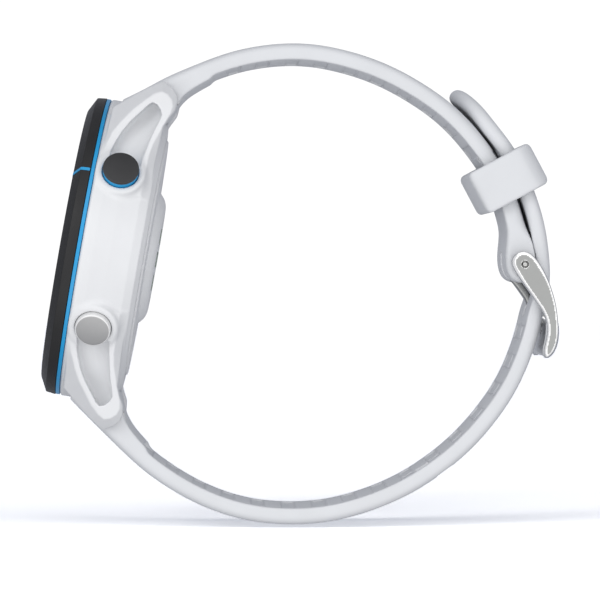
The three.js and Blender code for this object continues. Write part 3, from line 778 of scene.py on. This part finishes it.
SILICONE = surface("white_silicone", (0.60, 0.612, 0.635), 0.52, grain=(9000, 0.10), sheen=0.04)
CASE_WHITE = surface("white_case", (0.68, 0.688, 0.705), 0.42, grain=(7000, 0.05), specular=0.4)
BEZEL_BLACK = surface(
    "black_polymer", (0.022, 0.022, 0.023), 0.45, mottle=0.10, grain=(2500, 0.10), specular=0.2,
)
BLUE = surface("blue_polymer", (0.010, 0.29, 0.60), 0.32, mottle=0.06, grain=(6000, 0.04))
DARK_FACE = surface(
    "dark_cap", (0.045, 0.045, 0.047), 0.38, metal=0.6, mottle=0.12, grain=(1500, 0.06), stretch=(1, 8, 1),
)
# the silver buttons' sides and rims: a lighter, mostly matt silver, painted highlight where the rim catches
# light
PAINTED_RIM_HIGHLIGHT = surface("silver_painted_rim_highlight", (0.74, 0.74, 0.74), 0.5, metal=0.2, mottle=0.03, grain=(1400, 0.06))
SILVER_FACE = surface(
    "silver_cap", (0.42, 0.42, 0.42), 0.42, metal=1.0, mottle=0.03, grain=(1400, 0.10), stretch=(1, 9, 1),
)
POLISHED = surface("polished_edge", (0.80, 0.80, 0.80), 0.25, metal=1.0, mottle=0.02, grain=(3000, 0.02))
BRUSHED = surface(
    "buckle_brushed", (0.37, 0.375, 0.37), 0.44, metal=1.0, mottle=0.03, grain=(1500, 0.10),
    stretch=(8, 8, 1),
)
STEEL = surface(
    "steel", (0.58, 0.58, 0.57), 0.30, metal=1.0, mottle=0.05, grain=(3000, 0.05), stretch=(1, 6, 6),
)
GOLD = surface("gold_contact", (0.76, 0.56, 0.22), 0.22, metal=1.0, mottle=0.06, grain=(3000, 0.03))
BOARD = surface("board", (0.03, 0.16, 0.08), 0.45, mottle=0.25, grain=(2500, 0.2))
CELL = surface("cell", (0.55, 0.56, 0.57), 0.35, metal=0.8, mottle=0.05, grain=(1500, 0.1))
RUBBER = surface("seal_rubber", (0.02, 0.02, 0.02), 0.7, mottle=0.2, grain=(5000, 0.1))
SWITCH = surface("switch_black", (0.02, 0.02, 0.022), 0.55, mottle=0.2, grain=(5000, 0.1))
LENS_DARK = surface("sensor_glass", (0.012, 0.013, 0.015), 0.09, mottle=0.15, grain=(1200, 0.006), coat=0.6)
SCREEN = surface("screen_off", (0.010, 0.013, 0.014), 0.25, mottle=0.2, grain=(1200, 0.01))
INK = surface("screen_digits", (0.42, 0.44, 0.42), 0.5, mottle=0.05, grain=(2500, 0.02))
AMBER = surface("led_window", (0.10, 0.16, 0.08), 0.15, mottle=0.2, grain=(2500, 0.02), coat=0.5)


def glass(name):
    material, tree, shader = new_material(name)
    smudge = noise(tree, 260, 4)
    tint = blend_colours(tree, smudge, (0.90, 0.92, 0.93), (0.97, 0.98, 0.98))
    link(tree, tint, shader.inputs["Base Color"])
    link(tree, spread(tree, smudge, 0.015, 0.05), shader.inputs["Roughness"])
    shader.inputs["Transmission Weight"].default_value = 1.0
    shader.inputs["IOR"].default_value = 1.5
    bump(tree, shader, smudge, 0.01, 0.00005)
    return material


GLASS = glass("lens_glass")
SLOT_MATERIAL = {
    "white_case": CASE_WHITE, "white_silicone": SILICONE, "black_polymer": BEZEL_BLACK,
    "blue_polymer": BLUE, "dark_cap": DARK_FACE, "silver_cap": SILVER_FACE, "lens_glass": GLASS,
    "display": SCREEN, "board": BOARD, "cell": CELL, "seal_rubber": RUBBER, "gold_contact": GOLD,
    "steel": STEEL, "switch_black": SWITCH, "buckle_steel": BRUSHED,
}


def finish_with(obj, *materials):
    obj.data.materials.clear()
    for material in materials:
        obj.data.materials.append(material)
    return obj


def zone(obj, index, test):
    """Gives material number index to the faces where test(centres, normals) holds."""
    mesh = obj.data
    count = len(mesh.polygons)
    centres, normals = np.empty(count * 3), np.empty(count * 3)
    mesh.polygons.foreach_get("center", centres)
    mesh.polygons.foreach_get("normal", normals)
    kind = np.zeros(count, np.int32)
    mesh.polygons.foreach_get("material_index", kind)
    kind[test(centres.reshape(-1, 3), normals.reshape(-1, 3))] = index
    mesh.polygons.foreach_set("material_index", kind)
    mesh.update()


def place(obj, body, slot_name, nodes, *materials):
    """The piece's finish (its slot's, unless materials are given), the body it rides on, and the CAD nodes
    that it stands for, which it hides.
    """
    finish_with(obj, *(materials or (SLOT_MATERIAL[slot_name],)))
    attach(obj, body)
    if nodes:
        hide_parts(*nodes)
    return obj


# ---------- assembly: case and dial side ----------
def build_case():
    verts, faces = surface_net(case_field, (-25.2, 2.6, -28.4), (25.2, 13.9, 28.4), (0.2, 0.17, 0.18))
    place(make_object("case_shell", verts, faces, case_to_frame), "watch", "white_case", ["case_body"])


# turned profiles, each point a (radius, depth, corner radius)
BEZEL = [
    (18.7, 0.1, 0), (18.8, 0.0, 0), (21.0, 0.0, 0.25), (23.1, 1.1, 0.2), (23.27, 2.55, 0.1),
    (17.2, 2.57, 0), (17.2, 1.55, 0), (18.7, 1.55, 0),
]
ACCENT = [(20.4, 2.63, 0), (23.2, 2.63, 0.06), (23.2, 3.18, 0.08), (20.4, 3.18, 0)]
LENS = [(0, 0.10, 0), (9.0, 0.13, 0), (18.2, 0.28, 0.2), (18.5, 1.25, 0.1), (0, 1.25, 0)]
MASK = [(16.4, 1.30), (18.4, 1.30), (18.4, 1.42), (16.4, 1.42)]
PANEL = [(0, 1.6, 0), (16.7, 1.6, 0.15), (16.7, 3.2, 0), (0, 3.2, 0)]


def build_dial():
    bezel = turned("bezel_ring", fillet(BEZEL), on_case, 360)
    place(bezel, "watch", "black_polymer", ["bezel"])
    accent = turned("accent_band", fillet(ACCENT), on_case, 360)
    place(accent, "watch", "blue_polymer", ["accent_ring"])
    lens = turned("lens_cover", fillet(LENS), on_case, 160)
    place(lens, "watch", "lens_glass", ["display_lens"])
    mask = turned("lens_mask", MASK, on_case, 160)
    place(mask, "watch", "black_polymer", [], BEZEL_BLACK)
    panel = turned("display_face", fillet(PANEL), on_case, 128)
    place(panel, "watch", "display", ["display_panel"])


STRIPE_HALF = 0.24
STRIPE_THICK = 0.2
STRIPE_PATH = [
    (23.3, 2.44), (23.31, 2.2), (23.22, 1.45), (23.12, 1.05), (22.4, 0.68), (21.3, 0.1), (21.0, -0.03),
    (20.4, -0.04),
]


def build_stripe():
    """The blue line beside the start button, over the bezel's wall and chamfer to its front."""
    angle = math.radians(STRIPE_ANGLE)
    c, s = math.cos(angle), math.sin(angle)
    verts = []
    for r, d in STRIPE_PATH:
        for inwards, side in ((0.0, -1), (0.0, 1), (STRIPE_THICK, 1), (STRIPE_THICK, -1)):
            radius, depth = r - inwards, d + inwards * 0.4
            u = side * STRIPE_HALF
            verts.append((radius * c - u * s, depth, radius * s + u * c))
    faces = [(0, 1, 2, 3)]
    for i in range(len(STRIPE_PATH) - 1):
        for k in range(4):
            n = (k + 1) % 4
            faces.append((i * 4 + k, i * 4 + n, i * 4 + 4 + n, i * 4 + 4 + k))
    end = 4 * (len(STRIPE_PATH) - 1)
    faces.append((end + 3, end + 2, end + 1, end))
    stripe = make_object("index_stripe", np.array(verts), faces, case_to_frame, smooth=False)
    place(face_outward(stripe), "watch", "blue_polymer", [])


SEGMENTS = {
    "0": "abcdef", "1": "bc", "2": "abged", "3": "abgcd", "4": "fgbc", "5": "afgcd", "6": "afgedc",
    "7": "abc", "8": "abcdefg", "9": "abcdfg",
}
READOUTS = [("10:08", (0, 1.5), 7.2, 1.1), ("17", (0, -6.6), 3.0, 0.5)]  # text, centre, height, stroke
DIGIT_BACK, DIGIT_FRONT = 1.56, 1.52
DIGIT_INSET = 0.05
BLOCK_SIDES = ((0, 1, 2, 3), (7, 6, 5, 4), (0, 4, 5, 1), (1, 5, 6, 2), (2, 6, 7, 3), (3, 7, 4, 0))


def digit_bars(text, centre, size, w):
    """Seven-segment digits as flat bars of width w, each (x0, h0, x1, h1)."""
    bars = []
    width, gap = size * 0.55, size * 0.25
    total = len(text) * width + (len(text) - 1) * gap
    left = centre[0] - total / 2
    top, middle, low = centre[1] + size / 2, centre[1], centre[1] - size / 2
    for i, figure in enumerate(text):
        x0, x1 = left + i * (width + gap), left + i * (width + gap) + width
        if figure == ":":
            mid = (x0 + x1) / 2
            for y in (0.14, -0.24):
                bars.append((mid - w / 2, middle + size * y, mid + w / 2, middle + size * y + w))
            continue
        shapes = {
            "a": (x0, top - w, x1, top),
            "b": (x1 - w, middle, x1, top),
            "c": (x1 - w, low, x1, middle),
            "d": (x0, low, x1, low + w),
            "e": (x0, low, x0 + w, middle),
            "f": (x0, middle, x0 + w, top),
            "g": (x0, middle - w / 2, x1, middle + w / 2),
        }
        bars += [shapes[k] for k in SEGMENTS[figure]]
    return bars


def build_digits():
    bars = [bar for readout in READOUTS for bar in digit_bars(*readout)]
    verts, faces = [], []
    for x0, h0, x1, h1 in bars:
        base = len(verts)
        left, right = x0 + DIGIT_INSET, x1 - DIGIT_INSET
        foot, head = h0 + DIGIT_INSET, h1 - DIGIT_INSET
        for d in (DIGIT_BACK, DIGIT_FRONT):
            verts += [(left, d, foot), (right, d, foot), (right, d, head), (left, d, head)]
        faces += [tuple(base + n for n in side) for side in BLOCK_SIDES]
    digits = make_object("screen_digits", np.array(verts), faces, case_to_frame, smooth=False)
    place(face_outward(digits), "watch", "display", [], INK)


# ---------- assembly: back ----------
SCREW_CIRCLE = 15.9
SCREW_TURNS = [math.radians(a) for a in (45, 135, 225, 315)]
SCREWS = [(SCREW_CIRCLE * math.cos(a), SCREW_CIRCLE * math.sin(a)) for a in SCREW_TURNS]
SCREW_HEAD = (1.45, 12.76, 0.26)  # radius, middle depth and half thickness
SCREW_SHANK = (0.62, 11.3, 1.6)
CONTACTS = (-2.55, -0.85, 0.85, 2.55)
CONTACT_HEIGHT = -15.0
EYES = [(0, 3.6), (0, -3.6), (3.6, 0), (-3.6, 0), (0, 0)]
COVER = [
    (7.45, 11.35), (18.5, 11.35), (18.5, 12.72), (18.3, 13.02), (10.4, 13.1), (9.0, 14.4), (7.45, 14.4),
]
COVER_GROOVE = (13.0, 0.12, 12.95)  # radius, half width and the depth of its bed
WINDOW = [(0, 12.7, 0), (7.2, 12.7, 0), (7.2, 14.3, 0.3), (0, 14.36, 0)]
EYE = [(0, 14.2, 0), (1.25, 14.2, 0), (1.25, 14.4, 0.03), (1.05, 14.4, 0.0), (1.0, 14.385, 0), (0, 14.385, 0)]
CHARGE_PIN = [(0, 11.35, 0), (0.45, 11.35, 0), (0.45, 12.8, 0.15), (0, 12.82, 0)]


def cover_field(x, d, h):
    r = np.hypot(x, h)
    shape = polygon(r, d, COVER)
    bump_side = smax(d - CASE_DEPTH, (r - 9.2) * 0.72 + (d - 14.3) * 0.69, 1.0)
    shape = smax(shape, np.where(r < 10.6, bump_side, -1.0), 0.05)
    radius, half, bed = COVER_GROOVE
    shape = smax(shape, -np.maximum(np.abs(r - radius) - half, bed - d), 0.1)
    for sx, sh in SCREWS:
        away = np.hypot(x - sx, h - sh)
        shape = smax(shape, -np.maximum(away - 1.72, 12.2 - d), 0.15)
        shape = np.maximum(shape, 0.9 - away)
    pocket = np.maximum(rounded(x, h - CONTACT_HEIGHT, 3.9, 1.4, 1.3), 12.3 - d)
    shape = smax(shape, -pocket, 0.25)
    for cx in CONTACTS:
        shape = np.maximum(shape, 0.7 - np.hypot(x - cx, h - CONTACT_HEIGHT))
    return shape


def screw_field(x, d, h):
    """A round head with a six-lobed socket, on a plain shank."""
    r = np.hypot(x, h)
    head_radius, head_middle, head_half = SCREW_HEAD
    shank_radius, shank_middle, shank_half = SCREW_SHANK
    head = smax(r - head_radius, np.abs(d - head_middle) - head_half, 0.25)
    shank = np.maximum(r - shank_radius, np.abs(d - shank_middle) - shank_half)
    lobes = r - 0.62 - 0.13 * np.cos(6 * np.arctan2(h, x))
    socket = np.maximum(lobes, 12.62 - d)
    return smax(smin(head, shank, 0.1), -socket, 0.05)


def build_back():
    verts, faces = surface_net(cover_field, (-18.9, 11.0, -18.9), (18.9, 14.7, 18.9), 0.24)
    place(make_object("back_cover", verts, faces, case_to_frame), "watch", "white_case", ["rear_cover"])
    window = turned("optical_window", fillet(WINDOW), on_case, 128)
    place(window, "watch", "lens_glass", ["sensor_window"], LENS_DARK)
    for i, spot in enumerate(EYES):
        eye = turned(f"sensor_eye_{i + 1}", fillet(EYE), at_spot(spot), 40)
        place(eye, "watch", "lens_glass", [], AMBER)
    verts, faces = surface_net(screw_field, (-1.7, 9.5, -1.7), (1.7, 13.2, 1.7), 0.07)
    for i, spot in enumerate(SCREWS):
        screw = make_object(f"cover_screw_{i + 1}", verts, faces, at_spot(spot))
        place(screw, "watch", "steel", [f"rear_screw_{i + 1}"])
    for i, cx in enumerate(CONTACTS):
        pin = turned(f"charge_pin_{i + 1}", fillet(CHARGE_PIN), at_spot((cx, CONTACT_HEIGHT)), 32)
        place(pin, "watch", "gold_contact", [f"charge_contact_{i + 1}"])


# ---------- assembly: buttons ----------
STEM = [
    (0, 18.8, 0), (0.9, 18.8, 0), (0.9, 19.05, 0), (0.5, 19.05, 0), (0.5, 19.85, 0), (0.9, 19.85, 0),
    (0.9, 20.5, 0), (0.5, 20.5, 0), (0.5, 21.4, 0), (0.9, 21.4, 0),
]
CAP_RADIUS = 2.73
START_CAP = (24.1, 24.58, 0.10)  # the cap's underside and top, and its rim's corner radius
PLAIN_CAP = (22.75, 24.28, 0.36)
COLLAR = [(1.2, 22.7, 0), (2.71, 22.7, 0), (2.71, 24.06, 0.05), (1.2, 24.06, 0)]


def build_button(name, slot_name, shape, face, side):
    """A cap on its stem, with one material on its flat face and another on its side; on the silver buttons
    the side's lighter silver is a painted rim highlight.
    """
    base, top, rim = shape
    head = [(0.9, base, 0), (CAP_RADIUS, base, 0.06), (CAP_RADIUS, top - 0.02, rim), (0, top, 0)]
    cap = turned(f"{name}_button_cap", fillet(STEM + head), at_button(name), 128)
    place(cap, f"{name}_button", slot_name, [f"{name}_cap"], face, side)
    tip, foot = at_button(name)(np.array([[0.0, 1.0, 0.0], [0.0, 0.0, 0.0]]))
    axis = (tip - foot) / np.linalg.norm(tip - foot)
    # faces off the cap's axis take the side material, on the silver buttons a painted rim highlight
    zone(cap, 1, lambda centres, normals: normals @ axis < 0.985)


def build_buttons():
    for name in BUTTON_ANGLES:
        if name == "start":
            build_button(name, "dark_cap", START_CAP, DARK_FACE, DARK_FACE)
        else:
            build_button(name, "silver_cap", PLAIN_CAP, SILVER_FACE, PAINTED_RIM_HIGHLIGHT)
    collar = turned("start_blue_collar", fillet(COLLAR), at_button("start"), 128)
    place(collar, "start_button", "blue_polymer", ["start_collar"])


# ---------- assembly: band and buckle ----------
def build_band():
    step = (0.3, 0.22, 0.22)
    place(band_part("band_top", TOP, top_field, 88.0, step), "watch", "white_silicone", ["buckle_strap"])
    place(band_part("band_bottom", LOW, low_field, 136.5, step), "watch", "white_silicone", ["hole_strap"])
    verts, faces = surface_net(keeper_field, (-13.5, -5.6, -3.8), (13.5, 6.3, 3.8), 0.17)
    place(make_object("band_keeper", verts, faces, keeper_to_frame), "keeper", "white_silicone", ["keeper"])


PIN_ROD = [
    (0, -13.22, 0), (0.30, -13.2, 0.1), (0.38, -13.0, 0), (0.38, -11.3, 0), (0.62, -11.3, 0),
    (0.62, 11.3, 0), (0.38, 11.3, 0), (0.38, 13.0, 0), (0.30, 13.2, 0.1), (0, 13.22, 0),
]


def build_buckle():
    verts, faces = surface_net(buckle_field, (-13.6, 31.6, -9.2), (13.6, 39.7, 7.9), 0.15)
    frame_piece = make_object("buckle_bow", verts, faces, loop_to_frame)
    place(frame_piece, "buckle", "buckle_steel", ["buckle_frame"], BRUSHED, POLISHED)
    zone(frame_piece, 1, lambda centres, normals: np.abs(normals[:, 0]) < 0.985)
    verts, faces = surface_net(tongue_field, (-1.2, 32.0, -5.7), (1.2, 39.2, 7.1), 0.1)
    place(make_object("buckle_tongue", verts, faces, loop_to_frame), "tongue", "buckle_steel", ["tongue"])
    pin = turned("buckle_pin_rod", fillet(PIN_ROD), along_x(PIN), 40)
    place(pin, "watch", "buckle_steel", ["buckle_pin"], STEEL)


def finish_carried_nodes():
    """Each CAD node that still shows gets its slot's procedural finish."""
    slot_of = {part["node"]: part["material_slot"] for part in frame["record"]["subparts"]}
    for name, obj in frame["nodes"].items():
        finish_with(obj, SLOT_MATERIAL[slot_of[name]])


finish_carried_nodes()
build_case()
build_dial()
build_stripe()
build_digits()
build_back()
build_buttons()
build_band()
build_buckle()

# ---------- floor, light and camera ----------
FLOOR_Z = CAD_BOX[0][2] - 0.0001
FLOOR_WHITE = 1.75
FLOOR_HALF = 3.0


def build_floor():
    corners = [(-1, -1), (1, -1), (1, 1), (-1, 1)]
    verts = np.array([(x * FLOOR_HALF, y * FLOOR_HALF, FLOOR_Z) for x, y in corners])
    floor = make_object("floor", verts, [(0, 1, 2, 3)], lambda p: p, smooth=False)
    material, tree, shader = new_material("floor")
    matt = tree.nodes.new("ShaderNodeBsdfDiffuse")
    matt.inputs["Color"].default_value = (FLOOR_WHITE, FLOOR_WHITE, FLOOR_WHITE, 1)
    link(tree, matt.outputs["BSDF"], tree.nodes["Material Output"].inputs["Surface"])
    tree.nodes.remove(shader)
    finish_with(floor, material)
    # it takes the object's shadow, and sends no light back up
    floor.visible_diffuse = False
    floor.visible_glossy = False
    floor.visible_transmission = False
    floor.visible_shadow = False


LIGHT = 1.72
BACKDROP = 1.05
LIGHT_STOPS = [
    (0.00, (0.26, 0.27, 0.30)),
    (0.35, (0.14, 0.147, 0.17)),
    (0.50, (0.16, 0.167, 0.19)),
    (0.65, (0.28, 0.285, 0.30)),
    (0.78, (0.70, 0.70, 0.71)),
    (0.88, (0.92, 0.92, 0.92)),
    (0.95, (0.84, 0.84, 0.84)),
    (1.00, (0.48, 0.48, 0.48)),
]


def build_world():
    """A soft ring of light about the +X side, dim and slightly blue from the rest, and a white backdrop."""
    world = bpy.data.worlds.new("studio")
    bpy.context.scene.world = world
    world.use_nodes = True
    tree = world.node_tree
    tree.nodes.clear()
    nodes = tree.nodes
    where = nodes.new("ShaderNodeTexCoord")
    split = nodes.new("ShaderNodeSeparateXYZ")
    link(tree, where.outputs["Generated"], split.inputs["Vector"])
    facing = nodes.new("ShaderNodeMapRange")
    facing.inputs["From Min"].default_value = -1.0
    facing.inputs["From Max"].default_value = 1.0
    link(tree, split.outputs["X"], facing.inputs["Value"])
    gradient = nodes.new("ShaderNodeValToRGB")
    for position, _ in LIGHT_STOPS[1:-1]:
        gradient.color_ramp.elements.new(position)
    for element, (position, colour) in zip(gradient.color_ramp.elements, LIGHT_STOPS):
        element.position = position
        element.color = (*colour, 1)
    link(tree, facing.outputs["Result"], gradient.inputs["Fac"])
    lit = nodes.new("ShaderNodeBackground")
    lit.inputs["Strength"].default_value = LIGHT
    link(tree, gradient.outputs["Color"], lit.inputs["Color"])
    seen = nodes.new("ShaderNodeBackground")
    seen.inputs["Color"].default_value = (1, 1, 1, 1)
    seen.inputs["Strength"].default_value = BACKDROP
    rays = nodes.new("ShaderNodeLightPath")
    mix = nodes.new("ShaderNodeMixShader")
    link(tree, rays.outputs["Is Camera Ray"], mix.inputs["Fac"])
    link(tree, lit.outputs["Background"], mix.inputs[1])
    link(tree, seen.outputs["Background"], mix.inputs[2])
    out = nodes.new("ShaderNodeOutputWorld")
    link(tree, mix.outputs["Shader"], out.inputs["Surface"])


def area_light(name, position, target, size, power):
    data = bpy.data.lights.new(name, "AREA")
    data.shape = "DISK"
    data.size = size
    data.energy = power
    lamp = bpy.data.objects.new(name, data)
    bpy.context.scene.collection.objects.link(lamp)
    lamp.location = position
    aim = Vector(target) - Vector(position)
    lamp.rotation_euler = aim.to_track_quat("-Z", "Y").to_euler()


CAMERA_LENS = 265.5
CAMERA_SENSOR = 36.0
CAMERA_AT = (0.687, 0.01102, -0.00266)
CAMERA_TARGET = (0, 0.022219, -0.0062595)


def build_camera():
    data = bpy.data.cameras.new("camera")
    data.lens = CAMERA_LENS
    data.sensor_width = CAMERA_SENSOR
    data.clip_start = 0.01
    data.clip_end = 20.0
    camera = bpy.data.objects.new("camera", data)
    bpy.context.scene.collection.objects.link(camera)
    camera.location = CAMERA_AT
    aim = Vector(CAMERA_TARGET) - camera.location
    camera.rotation_euler = aim.to_track_quat("-Z", "Y").to_euler()
    bpy.context.scene.camera = camera


build_floor()
build_world()
area_light("key", (1.5, -0.9, 0.9), (0, 0.02, 0), 0.6, 4.0)
build_camera()
bpy.context.scene.view_settings.view_transform = "Standard"
